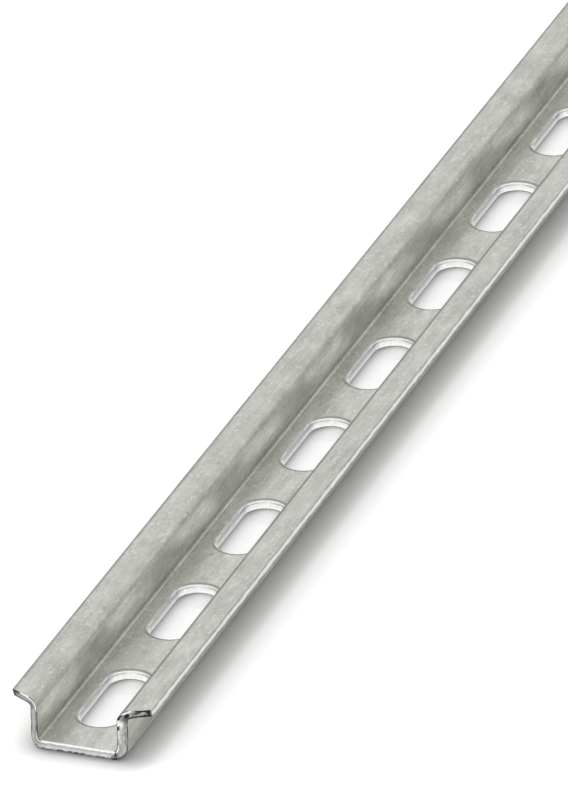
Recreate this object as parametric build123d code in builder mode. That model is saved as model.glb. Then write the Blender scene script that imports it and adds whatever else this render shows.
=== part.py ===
from build123d import *
import os

# Mini top-hat DIN rail, 15 mm wide and 5.5 mm high, one strip of cold rolled galvanised sheet.
# It lies on the back of its web with the lips up. +X runs along the rail, +Y across it, +Z up.
# The origin is at the middle of the underside. Sizes are in millimetres.

length = 1000.0  # one sold length of stock
rail_width = 15.0  # over the two lips
rail_height = 5.5  # from the back of the web to the top of the lips
channel_width = 10.5  # over the outside of the two walls
sheet = 1.0  # thickness of the strip
floor_bend = 0.6  # inside radius where the web turns up into a wall
lip_bend = 0.2  # inside radius where a wall turns out into a lip

slot_length = 12.2  # punched slot, end to end
slot_width = 4.5  # takes an M4 screw
slot_pitch = 20.0
slot_start = 10.9  # centre of the first slot, from the end of the rail
slot_rollover = 0.2  # radius that the punch draws down round the top of each slot

lip_setback = 1.6  # how far the shear leaves the tip of each lip short of the rail's end

end_at = length / 2
lip_tip = rail_width / 2
wall_face = channel_width / 2

# The slots march from one end, as the strip was punched before it was cut off. The last one
# leaves at least the sheet's thickness of metal before the far end.
slot_room = length - slot_start - slot_length / 2 - sheet
slot_count = 1 + int(slot_room // slot_pitch)
slot_centres = [(slot_start - end_at + slot_pitch * step, 0) for step in range(slot_count)]

# Corners of the section's half at +Y, from the web's underside round the lip to the web's top,
# and the bend or square corner at each.
half_corners = [
    (wall_face, 0),
    (wall_face, rail_height - sheet),
    (lip_tip, rail_height - sheet),
    (lip_tip, rail_height),
    (wall_face - sheet, rail_height),
    (wall_face - sheet, sheet),
]
half_bends = [floor_bend + sheet, lip_bend, 0, 0, lip_bend + sheet, floor_bend]
other_corners = [(-across, up) for across, up in reversed(half_corners)]

with BuildPart() as din_rail:
    # The strip's section: web, two walls and two lips.
    with BuildSketch(Plane.YZ) as section:
        with BuildLine() as outline:
            FilletPolyline(
                half_corners + other_corners,
                radius=half_bends + half_bends[::-1],
                close=True,
            )
        make_face()
    extrude(amount=end_at, both=True)

    # The row of slots through the web, with the punch's rollover round their upper rims.
    with BuildSketch(Plane.XY) as slots:
        with Locations(*slot_centres):
            SlotOverall(slot_length, slot_width)
    extrude(amount=sheet, mode=Mode.SUBTRACT)
    web_top = din_rail.faces().filter_by(Axis.Z).group_by(Axis.Z)[1]
    fillet(web_top[0].inner_wires().edges(), radius=slot_rollover)

    # Each lip is sheared back on a slant, from the inside of its wall to its tip, at both ends.
    with BuildSketch(Plane.XY) as shear_cuts:
        with BuildLine() as shear_cut:
            Polyline(
                (end_at, wall_face - sheet),
                (end_at, lip_tip),
                (end_at - lip_setback, lip_tip),
                close=True,
            )
        make_face()
        mirror(about=Plane.XZ)
        mirror(about=Plane.YZ)
    extrude(amount=rail_height, mode=Mode.SUBTRACT)

os.makedirs("parts", exist_ok=True)
din_rail.part.label = "din_rail"
export_step(din_rail.part, "parts/din_rail.step")
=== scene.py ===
import bmesh
import bpy
import math
from mathutils import Matrix, Vector, noise


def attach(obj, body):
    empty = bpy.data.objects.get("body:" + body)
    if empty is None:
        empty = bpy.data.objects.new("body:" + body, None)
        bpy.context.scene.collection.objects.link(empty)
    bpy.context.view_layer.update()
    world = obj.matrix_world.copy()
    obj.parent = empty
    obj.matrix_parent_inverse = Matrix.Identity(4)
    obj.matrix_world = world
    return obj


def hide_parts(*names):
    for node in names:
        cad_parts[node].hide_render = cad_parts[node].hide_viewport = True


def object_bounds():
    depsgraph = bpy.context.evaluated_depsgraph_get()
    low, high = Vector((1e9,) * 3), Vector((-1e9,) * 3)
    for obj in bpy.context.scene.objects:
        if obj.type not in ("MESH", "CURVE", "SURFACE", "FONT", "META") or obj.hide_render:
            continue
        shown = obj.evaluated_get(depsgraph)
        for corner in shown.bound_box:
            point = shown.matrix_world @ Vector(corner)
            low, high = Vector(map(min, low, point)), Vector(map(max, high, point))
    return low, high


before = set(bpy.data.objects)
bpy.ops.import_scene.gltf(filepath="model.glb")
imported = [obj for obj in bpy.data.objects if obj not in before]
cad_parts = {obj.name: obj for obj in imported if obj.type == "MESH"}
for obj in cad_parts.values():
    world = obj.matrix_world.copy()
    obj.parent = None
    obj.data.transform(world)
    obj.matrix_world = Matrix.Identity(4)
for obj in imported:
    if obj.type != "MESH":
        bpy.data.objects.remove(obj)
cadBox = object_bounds()
boxLow, boxHigh = cadBox
print("frame loaded, box in mm", [round(1000 * v, 3) for v in (*boxLow, *boxHigh)])
mm = 0.001
tiny = 1e-6  # points closer than this, in metres, are one


def deselectAll():
    if bpy.context.object and bpy.context.object.mode != "OBJECT":
        bpy.ops.object.mode_set(mode="OBJECT")
    bpy.ops.object.select_all(action="DESELECT")


def makeActive(piece):
    deselectAll()
    piece.select_set(True)
    bpy.context.view_layer.objects.active = piece


def editing(piece):
    makeActive(piece)
    bpy.ops.object.mode_set(mode="EDIT")


def applyAll(piece):
    makeActive(piece)
    for modifier in list(piece.modifiers):
        bpy.ops.object.modifier_apply(modifier=modifier.name)


def pickAll():
    bpy.ops.mesh.select_all(action="SELECT")


def pick(kind, test):
    # kind is VERT, EDGE or FACE; test takes one of them and says whether it is wanted
    bpy.ops.mesh.select_mode(type=kind)
    bpy.ops.mesh.select_all(action="DESELECT")
    shape = bmesh.from_edit_mesh(bpy.context.object.data)
    for part in {"VERT": shape.verts, "EDGE": shape.edges, "FACE": shape.faces}[kind]:
        if test(part):
            part.select_set(True)
    shape.select_flush_mode()
    bmesh.update_edit_mesh(bpy.context.object.data)


def near(a, b, slack=2 * tiny):
    return abs(a - b) < slack


def edgeAt(edge, y=None, z=None, x=None):
    # both ends of the edge lie at the given |y|, z or x
    for v in edge.verts:
        if y is not None and not near(abs(v.co.y), y):
            return False
        if z is not None and not near(v.co.z, z):
            return False
        if x is not None and not near(v.co.x, x):
            return False
    return True


def cutAt(place, normal, **more):
    # a new row of points wherever the plane crosses the piece
    pickAll()
    bpy.ops.mesh.bisect(plane_co=place, plane_no=normal, **more)


def pullOut(move=(0, 0, 0)):
    # extrudes what is selected
    bpy.ops.mesh.extrude_region_move(TRANSFORM_OT_translate={"value": move})


rail = {
    "sheet": 1.0 * mm,
    "pitch": 20.0 * mm,
    "slots": 50,
    "firstSlot": 10.9 * mm,  # centre of the first slot from the near end
    "slotLength": 12.2 * mm,
    "slotWidth": 4.5 * mm,
    "floorBend": 0.82 * mm,  # bend radii at the middle of the sheet
    "lipBend": 0.7 * mm,
    "channelWidth": 10.5 * mm,
    # how far out from a slot the punch has drawn the sheet down, how deep, and from which
    # slope on (as the height of the face's normal) the drawn sheet shines like the cut
    "rollover": 0.55 * mm,
    "rolloverDepth": 0.3 * mm,
    "shinesBelow": 0.88,
    # the cut edges, rounded one after the other
    "endRollover": 0.15 * mm,
    "endBurr": 0.08 * mm,
    "edgeRound": 0.05 * mm,
    # what the shear did to the two ends: the lips are cut back and pinched, the outer skin of
    # the walls and lips is sheared further back, and the faces are ragged
    "lipSetback": 1.6 * mm,
    "setbackReach": 9.0 * mm,
    "leanReach": 1.6 * mm,
    "wallLean": 0.12 * mm,
    "lipLean": 0.3 * mm,
    "leanFoot": 0.6 * mm,  # the lean starts here, and is full a little higher
    "leanRise": 1.2 * mm,
    "pinch": 0.08,
    "tornDepth": 0.25 * mm,
    "tornGrain": 1300,
    "ragged": (0.08 * mm, 0.2 * mm),  # all through, and more at the outer skin
    "raggedReach": 0.8 * mm,
    "raggedGrain": (300, 1800, 1800),
    "sharpFrom": 50,  # degrees; flatter edges aren't bevelled
    "smoothUpTo": 35,
    # how finely the strip is divided
    "slotArc": 8,
    "slotCuts": 5,
    "pitchCuts": (11, 9),
    "bendSteps": 6,
    "wallColumns": (1 / 3, 2 / 3),
    "lipColumns": (0.3, 0.6, 0.85),
    "endRows": (0.12, 0.3, 0.55, 1.3, 1.8),  # mm from each end
    "rolloverSteps": (6, 3),  # round a slot, at an end
    "burrSteps": 2,
    "roundSteps": 2,
    "endFaceCuts": 2,
}

half = rail["sheet"] / 2
webZ, lipZ = half, boxHigh.z - half  # height of the sheet's middle in the web and the lips
wallY = rail["channelWidth"] / 2 - half  # and how far out it is in the walls
webY = wallY - rail["floorBend"]
slotAt = boxLow.x + rail["firstSlot"]


def makePitch():
    # one pitch of the web, a flat ring from the slot's outline to a rectangle
    about = (slotAt, 0, webZ)
    deselectAll()
    bpy.ops.mesh.primitive_plane_add(size=1, location=about)
    piece = bpy.context.object
    piece.name = "galvanisedRail"
    bpy.ops.object.transform_apply(location=True, rotation=True, scale=True)
    bpy.ops.object.mode_set(mode="EDIT")
    bpy.ops.transform.resize(
        value=(rail["slotLength"], rail["slotWidth"], 1), center_override=about)
    bpy.ops.mesh.bevel(
        offset=rail["slotWidth"] / 2, segments=rail["slotArc"], affect="VERTICES",
        clamp_overlap=False)
    pickAll()
    bpy.ops.mesh.remove_doubles(threshold=tiny)
    pick("FACE", lambda f: True)
    bpy.ops.mesh.delete(type="ONLY_FACE")
    straight = rail["slotLength"] - rail["slotWidth"]
    pick("EDGE", lambda e: e.calc_length() > 0.9 * straight)
    bpy.ops.mesh.subdivide(number_cuts=rail["slotCuts"])

    bpy.ops.mesh.select_all(action="DESELECT")
    bpy.ops.mesh.primitive_plane_add(size=1, location=about)
    bpy.ops.transform.resize(value=(rail["pitch"], 2 * webY, 1), center_override=about)
    pick("FACE", lambda f: True)
    bpy.ops.mesh.delete(type="ONLY_FACE")
    longCuts, endCuts = rail["pitchCuts"]
    pick("EDGE", lambda e: edgeAt(e, y=webY, z=webZ) and e.calc_length() > 0.9 * rail["pitch"])
    bpy.ops.mesh.subdivide(number_cuts=longCuts)
    pick("EDGE", lambda e: near(e.calc_length(), 2 * webY, 10 * tiny))
    bpy.ops.mesh.subdivide(number_cuts=endCuts)
    pickAll()
    bpy.ops.mesh.bridge_edge_loops(number_cuts=1, interpolation="LINEAR")

    # both long edges out, up and out again, then the two bends
    pick("EDGE", lambda e: edgeAt(e, y=webY, z=webZ))
    pullOut()
    bpy.ops.transform.resize(value=(1, wallY / webY, 1), center_override=(0, 0, 0))
    pullOut((0, 0, lipZ - webZ))
    pullOut()
    bpy.ops.transform.resize(value=(1, boxHigh.y / wallY, 1), center_override=(0, 0, 0))
    for z, radius in ((webZ, rail["floorBend"]), (lipZ, rail["lipBend"])):
        pick("EDGE", lambda e: edgeAt(e, y=wallY, z=z))
        bpy.ops.mesh.bevel(
            offset=radius, segments=rail["bendSteps"], affect="EDGES", clamp_overlap=False)
    pickAll()
    bpy.ops.mesh.remove_doubles(threshold=tiny)
    # more columns on the flats of the wall and the lip
    wallLow, wallHigh = webZ + rail["floorBend"], lipZ - rail["lipBend"]
    for share in rail["wallColumns"]:
        cutAt((0, 0, wallLow + share * (wallHigh - wallLow)), (0, 0, 1))
    lipFlat = wallY + rail["lipBend"]
    for share in rail["lipColumns"]:
        for side in (-1, 1):
            cutAt((0, side * (lipFlat + share * (boxHigh.y - lipFlat)), 0), (0, 1, 0))
    pickAll()
    bpy.ops.mesh.normals_make_consistent(inside=False)
    bpy.ops.object.mode_set(mode="OBJECT")
    print("one pitch", len(piece.data.polygons), "faces")
    return piece


def runFullLength(piece):
    array = piece.modifiers.new("pitches", "ARRAY")
    array.count = rail["slots"]
    array.use_relative_offset = False
    array.use_constant_offset = True
    array.constant_offset_displace = (rail["pitch"], 0, 0)
    array.use_merge_vertices = True
    array.merge_threshold = tiny
    applyAll(piece)
    editing(piece)
    cutAt((boxHigh.x, 0, 0), (1, 0, 0), clear_outer=True)
    start = slotAt - rail["pitch"] / 2
    pick("EDGE", lambda e: edgeAt(e, x=start) and e.is_boundary)
    pullOut((boxLow.x - start, 0, 0))
    # closer rows at both ends, where the shear has dragged the sheet
    for depth in rail["endRows"]:
        for x in (boxLow.x + depth * mm, boxHigh.x - depth * mm):
            cutAt((x, 0, 0), (1, 0, 0))
    bpy.ops.object.mode_set(mode="OBJECT")
    print("full length", len(piece.data.polygons), "faces")


def thicken(piece):
    for finish in (zincCoat, shearedSteel, burrShadeLine):
        piece.data.materials.append(finish)
    wall = piece.modifiers.new("thickness", "SOLIDIFY")
    wall.thickness = rail["sheet"]
    wall.offset = 0
    wall.use_even_offset = True
    wall.use_quality_normals = True
    wall.material_offset_rim = 1
    applyAll(piece)


def easeEdges(piece):
    topZ = rail["sheet"]
    rollover = rail["rollover"]
    slotHalf = rail["slotWidth"] / 2 + 10 * tiny
    slotSteps, endSteps = rail["rolloverSteps"]

    def sharp(e):
        return len(e.link_faces) == 2 and e.calc_face_angle() > math.radians(rail["sharpFrom"])

    def byASlot(v, reach=0.0):
        return abs(v.co.y) < slotHalf + reach and abs(v.co.x) < boxHigh.x - 1 * mm

    def drawnDown(v):
        return topZ - rollover - tiny < v.co.z < topZ - tiny and byASlot(v, rollover)

    def steepRim(f):
        return (abs(f.normal.z) < rail["shinesBelow"] and f.calc_center_median().z < topZ
                and all(v.co.z > topZ - rollover and byASlot(v, rollover) for v in f.verts))

    def atEnd(part):
        return all(abs(v.co.x) > boxHigh.x - tiny for v in part.verts)

    def upperEnd(e):
        return sharp(e) and atEnd(e) and (edgeAt(e, z=topZ) or edgeAt(e, z=boxHigh.z))

    editing(piece)
    # the punch draws the sheet down round each slot, further out than down
    pick("EDGE", lambda e: sharp(e) and edgeAt(e, z=topZ) and all(map(byASlot, e.verts)))
    bpy.ops.mesh.bevel(offset=rollover, segments=slotSteps, affect="EDGES", material=0)
    pick("VERT", drawnDown)
    bpy.ops.transform.resize(
        value=(1, 1, rail["rolloverDepth"] / rollover), center_override=(0, 0, topZ))
    pick("FACE", steepRim)
    piece.active_material_index = 1
    bpy.ops.object.material_slot_assign()
    # and the shear does at the ends, where it leaves a burr too
    pick("EDGE", upperEnd)
    bpy.ops.mesh.bevel(
        offset=rail["endRollover"], segments=endSteps, affect="EDGES", material=1)
    # the burr's faces take the dark line, partly painted shade
    pick("EDGE", lambda e: sharp(e) and atEnd(e))
    bpy.ops.mesh.bevel(
        offset=rail["endBurr"], segments=rail["burrSteps"], affect="EDGES", material=2)
    pick("EDGE", sharp)
    bpy.ops.mesh.bevel(offset=rail["edgeRound"], segments=rail["roundSteps"], affect="EDGES")
    # the cut faces at the two ends get more rows through the sheet
    pick("FACE", lambda f: f.material_index == 1 and abs(f.normal.x) > 0.9 and atEnd(f))
    bpy.ops.mesh.subdivide(number_cuts=rail["endFaceCuts"])
    bpy.ops.object.mode_set(mode="OBJECT")


def across(y, z):
    # place through the sheet, 0 at the outer skin and under the lips, 1 at the inner one
    sheet, wallOut = rail["sheet"], rail["channelWidth"] / 2
    y = abs(y)
    low = rail["floorBend"] + sheet / 2
    high = rail["lipBend"] + sheet / 2
    if y > wallOut - low and z < low:
        inside = low - math.hypot(y - (wallOut - low), z - low)
    elif y < wallOut - sheet + high and z > boxHigh.z - high:
        inside = math.hypot(y - (wallOut - sheet + high), z - (boxHigh.z - high)) - (high - sheet)
    elif z > boxHigh.z - sheet - tiny and y > wallOut - sheet:
        inside = z - (boxHigh.z - sheet)
    elif z > low:
        inside = wallOut - y
    else:
        inside = z
    return min(1.0, max(0.0, inside / sheet))


def markAcross(piece):
    marks = piece.data.attributes.new(name="acrossSheet", type="FLOAT", domain="POINT")
    marks.data.foreach_set("value", [across(v.co.y, v.co.z) for v in piece.data.vertices])


def shapeEnds(piece):
    # the shear that cut the bar to length set the lips back and left the faces ragged
    outer = rail["channelWidth"] / 2
    inner = outer - rail["sheet"]
    tip = boxHigh.y
    clamp = lambda value: min(1.0, max(0.0, value))
    wave = lambda *spot: 0.5 + 0.5 * noise.noise(Vector(spot))
    ragged, outerRagged = rail["ragged"]
    grainX, grainY, grainZ = rail["raggedGrain"]
    for v in piece.data.vertices:
        for end, side in ((boxLow.x, 1), (boxHigh.x, -1)):
            depth = side * (v.co.x - end)
            if depth > rail["setbackReach"]:
                continue
            inside = across(v.co.y, v.co.z)
            fade = 1 - depth / rail["setbackReach"]
            close = max(0.0, 1 - depth / rail["leanReach"])
            y = abs(v.co.y)
            onLip = clamp((y - outer) / (tip - outer))
            onWall = clamp((v.co.z - rail["leanFoot"]) / rail["leanRise"])
            if y <= inner - 0.2 * mm:
                onWall = 0
            move = rail["lipSetback"] * max(0.0, y - inner) / (tip - inner) * fade
            lean = rail["wallLean"] + (rail["lipLean"] - rail["wallLean"]) * clamp(3 * onLip)
            move += lean * (1 - inside) * onWall * close
            if v.co.y * side < 0:  # the blade tore the inner skin of this wall
                torn = wave(7.3 * side, 3.1, v.co.z * rail["tornGrain"]) * rail["tornDepth"]
                move += torn * inside ** 2 * onWall * close * (1 - clamp(2 * onLip))
            jagged = wave(v.co.x * grainX, v.co.y * grainY, v.co.z * grainZ + 7)
            jagged *= ragged + outerRagged * (1 - inside) ** 2
            move += jagged * max(0.0, 1 - depth / rail["raggedReach"])
            v.co.x += side * max(0.0, move)
            if onLip > 0:
                drop = boxHigh.z - v.co.z
                v.co.z = boxHigh.z - drop * (1 - rail["pinch"] * onLip * close)
    # rounding errors and the bevels' corners stay inside the box
    hair = 0.1 * tiny
    for v in piece.data.vertices:
        v.co.y = max(boxLow.y + hair, min(boxHigh.y - hair, v.co.y))
        v.co.z = max(0.0, min(boxHigh.z, v.co.z))
    piece.data.update()


class Value:
    # an output socket that Python's arithmetic works on
    def __init__(self, finish, socket):
        self.finish, self.socket = finish, socket

    def maths(self, operation, a, b):
        return self.finish.node("Math", {"operation": operation}, {0: a, 1: b})

    def __add__(self, other):
        return self.maths("ADD", self, other)

    def __sub__(self, other):
        return self.maths("SUBTRACT", self, other)

    def __rsub__(self, other):
        return self.maths("SUBTRACT", other, self)

    def __mul__(self, other):
        return self.maths("MULTIPLY", self, other)

    __radd__ = __add__
    __rmul__ = __mul__


class Finish:
    # the nodes of a material, or of the world
    def __init__(self, owner, shader="Principled BSDF", output="Material Output"):
        owner.use_nodes = True
        self.owner, self.tree = owner, owner.node_tree
        self.shader, self.output = self.tree.nodes[shader], self.tree.nodes[output]

    def node(self, kind, settings=None, sockets=None, out=0):
        made = self.tree.nodes.new("ShaderNode" + kind)
        for name, value in (settings or {}).items():
            if name == "stops":
                ramp = made.color_ramp
                while len(ramp.elements) < len(value):
                    ramp.elements.new(0.5)
                for stop, (place, shade) in zip(ramp.elements, value):
                    stop.position = place
                    stop.color = (*shade, 1)
            else:
                setattr(made, name, value)
        for name, value in (sockets or {}).items():
            self.join(value, made.inputs[name])
        return Value(self, made.outputs[out])

    def join(self, value, socket):
        if isinstance(value, Value):
            self.tree.links.new(value.socket, socket)
        else:
            socket.default_value = value

    def set(self, **sockets):
        for name, value in sockets.items():
            self.join(value, self.shader.inputs[name])

    def mix(self, factor, first, second):
        # two shaders, for the surface
        both = self.node("MixShader", {}, {0: factor, 1: first, 2: second})
        self.join(both, self.output.inputs["Surface"])

    def place(self, scale=(1, 1, 1)):
        # object coordinates in millimetres, stretched by scale
        spot = self.node("TexCoord", out="Object")
        return self.node("Mapping", {}, {"Vector": spot, "Scale": tuple(1000 * s for s in scale)})

    def axes(self, place):
        split = self.node("SeparateXYZ", {}, {0: place}).socket.node
        return [Value(self, split.outputs[name]) for name in "XYZ"]

    def mottle(self, stretch, scale, detail, rough):
        return self.node("TexNoise", {"noise_dimensions": "3D"}, {
            "Vector": self.place(stretch), "Scale": scale, "Detail": detail, "Roughness": rough})

    def blend(self, factor, a, b, mode="MIX"):
        made = self.node("Mix", {"data_type": "RGBA", "blend_type": mode}, {0: factor}).socket.node
        colours = [s for s in made.inputs if s.type == "RGBA"]
        self.join(a, colours[0])
        self.join(b, colours[1])
        return Value(self, [s for s in made.outputs if s.type == "RGBA"][0])

    def tones(self, value, greys):
        # greys from bare steel, placed along the value
        stops = [(at, (g, g, 0.985 * g)) for at, g in greys]
        return self.node("ValToRGB", {"stops": stops}, {"Fac": value}, out="Color")

    def size(self, value):
        return self.node("Math", {"operation": "ABSOLUTE"}, {0: value})

    def larger(self, a, b):
        return self.node("Math", {"operation": "MAXIMUM"}, {0: a, 1: b})

    def spread(self, value, low, high, to=(0, 1)):
        return self.node("MapRange", {"clamp": True}, {
            "Value": value, "From Min": low, "From Max": high, "To Min": to[0], "To Max": to[1]})

    def band(self, value, rise, fall):
        # grows over rise and fades over fall
        return self.spread(value, *rise) * self.spread(value, fall[1], fall[0])

    def about(self, value, middle, outer, inner):
        # 1 within inner of the middle, 0 beyond outer
        return self.spread(self.size(value - middle), outer, inner)


# places are in mm: up from the underside, out from the middle of the rail, out from the rim
# of a slot, or past the straight part of a slot
zinc = {
    "pale": (0.62, 0.623, 0.575, 1),
    "grey": (0.40, 0.405, 0.37, 1),
    "fleck": (0.70, 0.70, 0.66, 1),
    # a gain above one, for the painted sheen on the channel floor and inside the upper bend
    "sheenGain": (1.19, 1.19, 1.2, 1),
    "footShadeTone": (0.86, 0.86, 0.86, 1),
    "line": (0.6, 0.6, 0.61, 1),
    "pit": (0.16, 0.16, 0.145, 1),
    # the tone of the painted shade round the slots
    "ring": (0.20, 0.20, 0.185, 1),
    # mottling: stretch along each axis, scale per mm, detail and roughness
    "cloud": ((0.4, 1, 1), 0.55, 3, 0.6),
    "grain": ((0.7, 1, 1), 3.4, 3, 0.75),
    "streak": ((0.045, 1, 1), 2.6, 4, 0.7),
    "flecks": ((0.6, 1, 1), 2.3, 3, 0.6),
    "pitted": ((1, 1, 1), 0.22, 1, 0.6),
    "webSheenUp": ((0.7, 0.9), (1.0, 1.06)),
    "webSheenOut": (2.0, 3.4),
    "footShadeUp": ((1.0, 1.06), (1.3, 2.9)),
    "footShadeOut": (3.6, 3.9),
    "bendSheenUp": ((4.0, 4.35), (4.55, 4.85)),
    "bendSheenOut": (4.9, 4.7),
    "bendShadeUp": ((5.0, 5.2), (5.38, 5.45)),
    "bendShadeOut": (-4.0, -4.2),
    "edgeLineOut": (7.14, 7.28),
    "webUp": (1.3, 1.1),
    "ringRim": ((0.16, 0.32), (0.44, 0.64)),
    "ringPast": (0.3, 1.6),
    "ringDepth": (0.05, 0.74),
    "drawnRim": (0.5, 0.28),
    "drawnPast": (1.4, 0.6),
    "drawnDepth": 0.34,
    "metallic": 0.95,
    "bump": 0.02 * mm,
    "floorRough": 0.28,
    "wallRough": 0.45,
    "bendRough": 0.56,
    "lipRough": 0.34,
    # where the floor ends, the wall begins and ends, and the lip begins
    "roughUp": ((1.01, 1.05), (1.3, 1.6), (3.7, 4.3), (4.8, 5.4)),
}


def slotDistances(f, x, y):
    # how far beyond the straight part of the nearest slot, and how far outside its rim, in mm
    ends = f.node("Math", {"operation": "PINGPONG"}, {
        0: x - 1000 * slotAt, 1: 500 * rail["pitch"]})
    past = f.larger(ends - 500 * (rail["slotLength"] - rail["slotWidth"]), 0.0)
    reach = f.node("Math", {"operation": "SQRT"}, {0: past * past + y * y})
    return past, reach - 500 * rail["slotWidth"]


def makeZincCoat():
    f = Finish(bpy.data.materials.new("zincCoat"))
    place = f.place()
    x, y, z = f.axes(place)
    side = f.size(y)
    cloud, grain, streak = (f.mottle(*zinc[k]) for k in ("cloud", "grain", "streak"))
    shade = cloud * 0.42 + grain * 0.3 + streak * 0.28
    colour = f.blend(f.spread(shade, 0.38, 0.62), zinc["grey"], zinc["pale"])
    flecks = f.spread(f.mottle(*zinc["flecks"]), 0.57, 0.7)
    colour = f.blend(flecks * 0.8, colour, zinc["fleck"])
    # painted highlight: the flat floor of the channel is painted brighter, most beside the walls
    webSheen = f.band(z, *zinc["webSheenUp"]) * f.spread(side, *zinc["webSheenOut"], (0.35, 1))
    colour = f.blend(webSheen, colour, zinc["sheenGain"], "MULTIPLY")
    # painted shade: the lower part of each wall, just above the channel floor, is painted darker
    footShade = f.band(z, *zinc["footShadeUp"]) * f.spread(side, *zinc["footShadeOut"])
    colour = f.blend(footShade, colour, zinc["footShadeTone"], "MULTIPLY")
    # painted highlight: the inside of the upper bend is painted brighter
    bendSheen = f.band(z, *zinc["bendSheenUp"]) * f.spread(side, *zinc["bendSheenOut"])
    colour = f.blend(bendSheen, colour, zinc["sheenGain"], "MULTIPLY")
    # a thin darker line follows the outer edge at +Y, and a thin line of painted shade follows the
    # bend at -Y
    bendShade = f.band(z, *zinc["bendShadeUp"]) * f.spread(y, *zinc["bendShadeOut"])
    darkLines = bendShade + f.spread(y, *zinc["edgeLineOut"])
    colour = f.blend(darkLines, colour, zinc["line"], "MULTIPLY")
    # painted shade: a darker ring just outside each slot, stronger at its round ends
    past, rim = slotDistances(f, x, y)
    onWeb = f.spread(z, *zinc["webUp"])
    ring = f.band(rim, *zinc["ringRim"]) * onWeb
    ring = ring * f.spread(past, *zinc["ringPast"], zinc["ringDepth"])
    colour = f.blend(ring, colour, zinc["ring"])
    # painted shade: along the slot's sides the drawn-down sheet is painted darker too
    drawn = f.spread(rim, *zinc["drawnRim"]) * f.spread(past, *zinc["drawnPast"]) * onWeb
    colour = f.blend(drawn * zinc["drawnDepth"], colour, zinc["ring"])
    cells = f.node("TexVoronoi", {"feature": "F1"}, {
        "Vector": place, "Scale": 0.55, "Randomness": 1.0}, out="Distance")
    pits = f.spread(cells, 0.085, 0.05) * f.spread(f.mottle(*zinc["pitted"]), 0.5, 0.56)
    colour = f.blend(pits * 0.75, colour, zinc["pit"])
    height = grain * 0.7 + streak * 0.7 + cloud * 1.2 - pits * 0.8
    bump = f.node("Bump", {}, {"Strength": 0.5, "Distance": zinc["bump"], "Height": height})
    # smoothest on the flat floor, roughest where the sheet is bent
    floorEnds, wallBegins, wallEnds, lipBegins = zinc["roughUp"]
    rough = f.spread(z, *floorEnds, (zinc["floorRough"], zinc["bendRough"]))
    rough = rough - f.spread(z, *wallBegins, (0, zinc["bendRough"] - zinc["wallRough"]))
    rough = rough + f.spread(z, *wallEnds, (0, zinc["bendRough"] - zinc["wallRough"]))
    rough = rough - f.spread(z, *lipBegins, (0, zinc["bendRough"] - zinc["lipRough"]))
    rough = rough + f.spread(shade, 0.35, 0.65, (0.05, -0.05))
    f.set(**{"Base Color": colour, "Roughness": rough, "Metallic": zinc["metallic"],
             "Normal": bump})
    return f.owner


sheared = {
    # greys through the sheet, outer skin first; the white bands at the upper edges of the slot
    # ends, the web, the curl and the lip are painted highlights, and the dark bands at the skins
    # of the end and slot faces are partly burr and partly painted shade along the cut edges
    "slotEnd": ((0, 0.06), (0.05, 0.16), (0.1, 0.94), (0.3, 0.8), (0.5, 0.74), (0.7, 0.82),
                (0.82, 1), (1, 1)),
    "slotSide": ((0, 0.14), (0.05, 0.3), (0.1, 0.53), (0.24, 0.57), (0.4, 0.53), (0.5, 0.38),
                 (0.6, 0.3), (0.7, 0.38), (0.8, 0.52), (1, 0.9)),
    "lipEdge": ((0, 0.24), (0.15, 0.4), (0.3, 0.72), (0.5, 0.92), (0.66, 0.78), (0.82, 0.42),
                (1, 0.3)),
    "web": ((0, 0.03), (0.07, 0.1), (0.15, 0.5), (0.3, 0.56), (0.5, 0.46), (0.68, 0.32),
            (0.78, 0.5), (0.87, 1.0), (1, 1.0)),
    "wall": ((0, 0.05), (0.1, 0.1), (0.24, 0.46), (0.5, 0.62), (0.7, 0.5), (0.85, 0.2), (1, 0.1)),
    "ripped": ((0, 0.56), (0.12, 0.5), (0.22, 0.3), (0.34, 0.62), (0.6, 0.74), (0.84, 0.74),
               (0.93, 0.25), (1, 0.08)),
    "curl": ((0, 0.05), (0.3, 0.14), (0.55, 0.26), (0.72, 0.55), (0.82, 1.0), (1, 1.0)),
    "lip": ((0, 0.01), (0.16, 0.02), (0.28, 0.34), (0.5, 0.46), (0.64, 0.3), (0.74, 0.2),
            (0.84, 0.95), (1, 1.0)),
    "lipTip": ((0, 0.01), (0.2, 0.03), (0.34, 0.4), (0.55, 0.55), (0.75, 0.25), (0.88, 0.06),
               (1, 0.05)),
    # near black: painted shade in the torn end's split, notches and pit, and its other dark marks
    "crease": (0.025, 0.025, 0.025, 1),
    # white, for the painted highlights on the torn wall's lobes
    "bright": (1, 1, 1, 1),
    # mottling: stretch along each axis, scale per mm, detail and roughness
    "tear": ((1, 1, 0.4), 3.6, 4, 0.7),
    "coarse": ((1, 1, 1), 1.9, 3, 0.65),
    "blots": ((1, 1, 1), 2.8, 2, 0.5),
    "frayed": ((0.35, 1, 1), 1.5, 3, 0.6),
    # where one gives way to the next, in mm: up from the underside or out from the middle
    "slotEndPast": (0.1, 1.2),
    "wallUp": (1.2, 2.0),
    "curlUp": (4.1, 4.5),
    "lipOut": (5.2, 5.6),
    "tipOut": (6.3, 6.7),
    "tornTip": 0.8,  # this much nearer on the torn side
    "cornerOut": (6.95, 7.15),
    "edgeOut": (7.38, 7.42),
    "endAlong": (-3.5, -3.0),  # from the rail's end
    # the torn wall: each mark's middle, and how far it fades and stays full from there
    "lobeHighlights": (4.15, 0.4, 0.2),
    "notches": ((4.8, 0.36, 0.24), (3.6, 0.3, 0.18)),
    "split": (4.15, 0.14, 0.05),
    "splitUp": (4.6, 4.3),
    "pitOut": 5.2,
    "pitSize": (0.08, 0.05),
    "pitUp": (4.6, 4.8),
    "pockOut": (2.8, 3.6),
    "pockUp": (0.8, 0.4),
    "dashUp": (0.5, 0.3),
    "rough": 0.36,
    "metallic": 0.9,
    "bump": 0.03 * mm,
}


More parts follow.
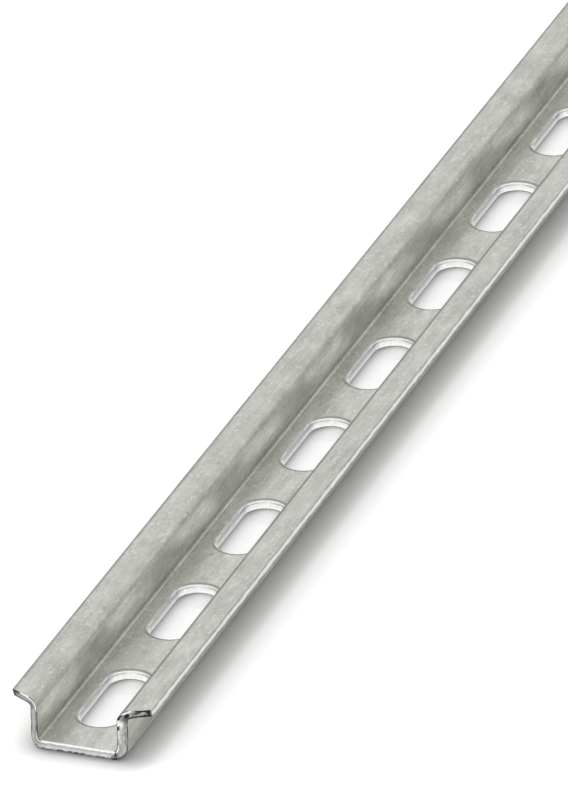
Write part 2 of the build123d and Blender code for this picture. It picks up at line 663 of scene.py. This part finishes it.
def makeShearedSteel():
    # banded through the sheet as the blade and the punch leave it, with painted highlights and
    # painted shade in some of the bands
    f = Finish(bpy.data.materials.new("shearedSteel"))
    x, y, z = f.axes(f.place())
    side = f.size(y)
    inside = f.node("Attribute", {"attribute_name": "acrossSheet"}, out="Fac")
    tear = f.mottle(*sheared["tear"])
    coarse = f.mottle(*sheared["coarse"])
    wander = coarse - 0.5
    torn = inside + wander * 0.4
    rough = inside + wander * 0.25
    tornSide = f.spread(x * y, 0, 1)
    past = slotDistances(f, x, y)[0]
    colour = f.blend(f.spread(past, *sheared["slotEndPast"]),
                     f.tones(inside, sheared["slotSide"]), f.tones(inside, sheared["slotEnd"]))
    # the torn wall has lobes along its inner edge, painted white as highlights, with notches
    # between them
    lobeHighlights = f.about(z + wander, *sheared["lobeHighlights"]) * f.spread(inside, 0.4, 0.6)
    upper, lower = (f.about(z, *notch) for notch in sheared["notches"])
    notches = tornSide * (upper + lower) * f.spread(rough, 0.62, 0.8)
    ripped = f.blend(lobeHighlights, f.tones(torn, sheared["ripped"]), sheared["bright"])
    wall = f.blend(tornSide, f.tones(torn, sheared["wall"]), ripped)
    wall = f.blend(f.spread(tear, 0.62, 0.4) * 0.35, wall, sheared["crease"])
    end = f.blend(f.spread(z, *sheared["wallUp"]), f.tones(rough, sheared["web"]), wall)
    end = f.blend(f.spread(z, *sheared["curlUp"]), end, f.tones(rough, sheared["curl"]))
    blots = f.spread(f.mottle(*sheared["blots"]), 0.5, 0.56)
    tip = f.blend(blots * 0.95, f.tones(torn, sheared["lipTip"]), sheared["crease"])
    tip = f.blend(f.spread(side, *sheared["cornerOut"]), tip, sheared["crease"])
    toTip = f.spread(side + wander + tornSide * sheared["tornTip"], *sheared["tipOut"])
    lip = f.blend(toTip, f.tones(rough, sheared["lip"]), tip)
    end = f.blend(f.spread(side, *sheared["lipOut"]), end, lip)
    # where the floor met the torn wall it split along a crease, with pocks beside it
    crease = f.about(side + wander * 1.2, *sheared["split"]) * f.spread(z, *sheared["splitUp"])
    pocks = blots * f.spread(side, *sheared["pockOut"]) * f.spread(z, *sheared["pockUp"]) * 0.7
    # and there is a pit where its lip begins
    fromPit, deep = side - sheared["pitOut"], inside - 0.5
    pit = f.spread(fromPit * fromPit + deep * deep, *sheared["pitSize"])
    pit = pit * f.spread(z, *sheared["pitUp"])
    # the split and the pit are painted near black as painted shade inside them, and the pocks are
    # dark too
    end = f.blend(tornSide * f.spread(crease + pocks + pit, 0, 1), end, sheared["crease"])
    # short dark dashes along the underside, partly the burr and partly painted contact shadow
    dashes = f.spread(coarse, 0.47, 0.53) * f.spread(inside, 0.28, 0.2)
    dashes = dashes * f.spread(z, *sheared["dashUp"])
    # the notches are painted near black too, as painted shade inside them
    end = f.blend(f.spread(notches + dashes, 0, 1), end, sheared["crease"])
    colour = f.blend(f.spread(f.size(x) - 1000 * boxHigh.x, *sheared["endAlong"]), colour, end)
    # the long edge of each lip, frayed along its length
    frayed = inside + (f.mottle(*sheared["frayed"]) - 0.5) * 0.55
    colour = f.blend(f.spread(side, *sheared["edgeOut"]), colour,
                     f.tones(frayed, sheared["lipEdge"]))
    colour = f.blend(f.spread(tear, 0.35, 0.65, (0.82, 1.0)), (0, 0, 0, 1), colour)
    bump = f.node("Bump", {}, {"Strength": 0.5, "Distance": sheared["bump"], "Height": tear})
    f.set(**{"Base Color": colour, "Roughness": sheared["rough"],
             "Metallic": sheared["metallic"], "Normal": bump})
    return f.owner


burrShade = {
    "dark": (0.03, 0.03, 0.028, 1),
    "grey": (0.30, 0.30, 0.285, 1),
    "rough": 0.5,
    "metallic": 0.8,
    "broken": ((1, 1, 1), 1.7, 3, 0.7),
}


def makeBurrShade():
    # the thin dark line along the cut edges at the ends, partly the blade's burr and partly
    # painted shade
    f = Finish(bpy.data.materials.new("burrShadeLine"))
    broken = f.mottle(*burrShade["broken"])
    colour = f.blend(f.spread(broken, 0.42, 0.62), burrShade["dark"], burrShade["grey"])
    f.set(**{"Base Color": colour, "Roughness": burrShade["rough"], "Metallic": burrShade["metallic"]})
    return f.owner


zincCoat = makeZincCoat()
shearedSteel = makeShearedSteel()
burrShadeLine = makeBurrShade()
railPiece = makePitch()
runFullLength(railPiece)
thicken(railPiece)
easeEdges(railPiece)
markAcross(railPiece)
shapeEnds(railPiece)
makeActive(railPiece)
bpy.ops.object.shade_smooth_by_angle(angle=math.radians(rail["smoothUpTo"]))
# keeps the big flats flat beside the small bends and bevels
weighted = railPiece.modifiers.new("flatFlats", "WEIGHTED_NORMAL")
weighted.keep_sharp = True
applyAll(railPiece)
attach(railPiece, "root")
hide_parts("din_rail")
print("rail", len(railPiece.data.polygons), "faces")


studio = {
    "floorSize": 80.0,
    "floorColour": (0.96, 0.96, 0.96, 1),
    "floorGlow": 0.1,
    "mirroredGlow": 0.6,
    "underOut": (3.5, 5.0),  # the mirrored glow stays beneath the channel, in mm
    "contactReach": 3.4 * mm,
    "contactDepth": 1.35,
    "contactFrom": (0.75, 0.45, 0.48),
    "slotLight": 0.4,  # how much the contact shading lifts in the slots, and where, in mm
    "slotLightOut": (1.8, 0.4),
    "slotLightAlong": 4,
    "dome": (0.95, 0.95, 0.95, 1),  # what lights the floor from all round
    "keyStrength": 0.8,
    "keySpread": 50.0,
    "keyFrom": (0.30, 0.38, 1.0),
}


def makeFloor():
    f = Finish(bpy.data.materials.new("paleFloor"))
    camera = f.node("LightPath", out="Is Camera Ray")
    mirrored = f.larger(f.node("LightPath", out="Is Glossy Ray"),
                        f.node("LightPath", out="Is Transmission Ray"))
    # painted contact shadow, seen by the camera only: a little deeper close to the metal, on the
    # side away from the key
    lean = f.node("CombineXYZ", {}, dict(zip("XYZ", studio["contactFrom"])))
    clearance = f.node("AmbientOcclusion", {"samples": 16}, {
        "Distance": studio["contactReach"], "Normal": lean}, out="AO")
    depth = f.node("Math", {"operation": "POWER"}, {0: clearance, 1: studio["contactDepth"]})
    x, y, z = f.axes(f.place())
    side = f.size(y)
    nearEnd = 1000 * boxLow.x
    throughSlots = f.spread(side, *studio["slotLightOut"])
    throughSlots = throughSlots * f.spread(x, nearEnd, nearEnd + studio["slotLightAlong"])
    shade = 1 - camera * (1 - depth) * (1 - throughSlots * studio["slotLight"])
    under = f.spread(side, *studio["underOut"], (1, 0))
    glow = camera * studio["floorGlow"] + mirrored * under * studio["mirroredGlow"]
    f.set(**{"Base Color": f.blend(shade, (0, 0, 0, 1), studio["floorColour"]),
             "Roughness": 1.0, "Specular IOR Level": 0.0, "Emission Strength": 1.0,
             "Emission Color": glow})
    # seen from underneath the floor is clear, so that the back of the rail shows
    f.mix(f.node("NewGeometry", out="Backfacing"), Value(f, f.shader.outputs[0]),
          f.node("BsdfTransparent"))
    deselectAll()
    bpy.ops.mesh.primitive_plane_add(size=studio["floorSize"], location=(0, 0, 0))
    floor = bpy.context.object
    floor.name = "studioFloor"
    floor.data.materials.append(f.owner)


def makeLight():
    # the room is white where it is seen or mirrored, and a little softer as light
    world = bpy.data.worlds.new("studioWorld")
    bpy.context.scene.world = world
    f = Finish(world, "Background", "World Output")
    seen = f.larger(f.node("LightPath", out="Is Camera Ray"), f.larger(
        f.node("LightPath", out="Is Glossy Ray"), f.node("LightPath", out="Is Transmission Ray")))
    f.set(Color=studio["dome"])
    f.mix(seen, Value(f, f.shader.outputs[0]), f.node("Background", {}, {"Color": (1, 1, 1, 1)}))
    deselectAll()
    bpy.ops.object.light_add(type="SUN", location=(0, 0.6, 0.8))
    key = bpy.context.object
    key.name = "softKey"
    key.data.energy = studio["keyStrength"]
    key.data.angle = math.radians(studio["keySpread"])
    key.visible_glossy = False  # it shapes the shadow, the metal shows the white room
    key.rotation_mode = "QUATERNION"
    key.rotation_quaternion = Vector(studio["keyFrom"]).to_track_quat("Z", "Y")


view = {
    "spot": (-0.422161, 0.006207, 0.00275),  # where the lens points
    "yaw": 20.698,
    "pitch": 26.627,
    "roll": -1.342,
    "distance": 1.4519,
    "lens": 630.0,
}


def makeCamera():
    yaw, pitch, roll = (math.radians(view[k]) for k in ("yaw", "pitch", "roll"))
    ahead = Vector((math.cos(pitch) * math.cos(yaw), math.cos(pitch) * math.sin(yaw),
                    -math.sin(pitch)))
    right = Vector((math.sin(yaw), -math.cos(yaw), 0))
    up = right.cross(ahead)
    right, up = (right * math.cos(roll) + up * math.sin(roll),
                 up * math.cos(roll) - right * math.sin(roll))
    deselectAll()
    bpy.ops.object.camera_add(location=Vector(view["spot"]) - ahead * view["distance"])
    camera = bpy.context.object
    camera.name = "studioCamera"
    camera.rotation_mode = "QUATERNION"
    camera.rotation_quaternion = Matrix([
        [right[i], up[i], -ahead[i]] for i in range(3)]).to_quaternion()
    camera.data.lens = view["lens"]
    camera.data.sensor_width = 36
    camera.data.clip_start, camera.data.clip_end = 0.05, 200
    bpy.context.scene.camera = camera


makeFloor()
makeLight()
makeCamera()
bpy.context.scene.view_settings.view_transform = "Standard"
print("studio ready")
